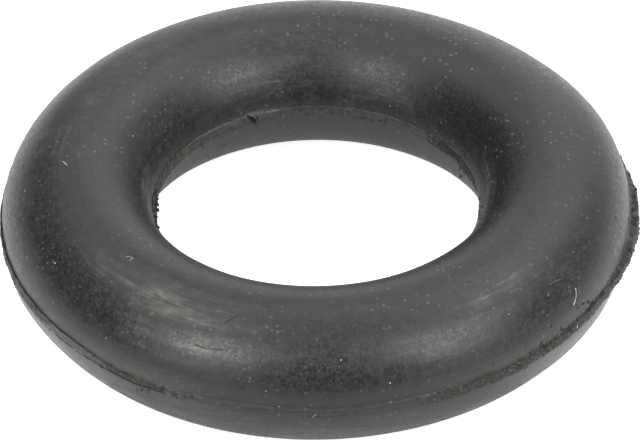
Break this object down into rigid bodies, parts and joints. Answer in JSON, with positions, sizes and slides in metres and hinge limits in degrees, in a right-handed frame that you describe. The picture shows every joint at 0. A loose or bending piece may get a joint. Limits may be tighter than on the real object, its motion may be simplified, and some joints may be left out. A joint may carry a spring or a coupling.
{
  "type": "exhaust hanger bushing",
  "caption": "Moulded black rubber ring of round, slightly flattened section that hangs an exhaust pipe between two hooks, with a torn parting line round its outside and its bore.",
  "frame": {"origin": "centre of the ring, on the parting plane of its two-part mould, halfway through its thickness", "axes": "+Z along the axis of the bore, upwards as the ring lies flat; +X towards the widest of the torn flash, which is on the right in the picture; the picture looks along +Y and down"},
  "size_m": [0.0629, 0.0622, 0.0142],
  "materials": {
    "rubber": "satin black moulded rubber with a faint bloom, rough where the flash was torn off"
  },
  "bodies": {
    "root": {"hanger_ring": "rubber"}
  },
  "joints": []
}
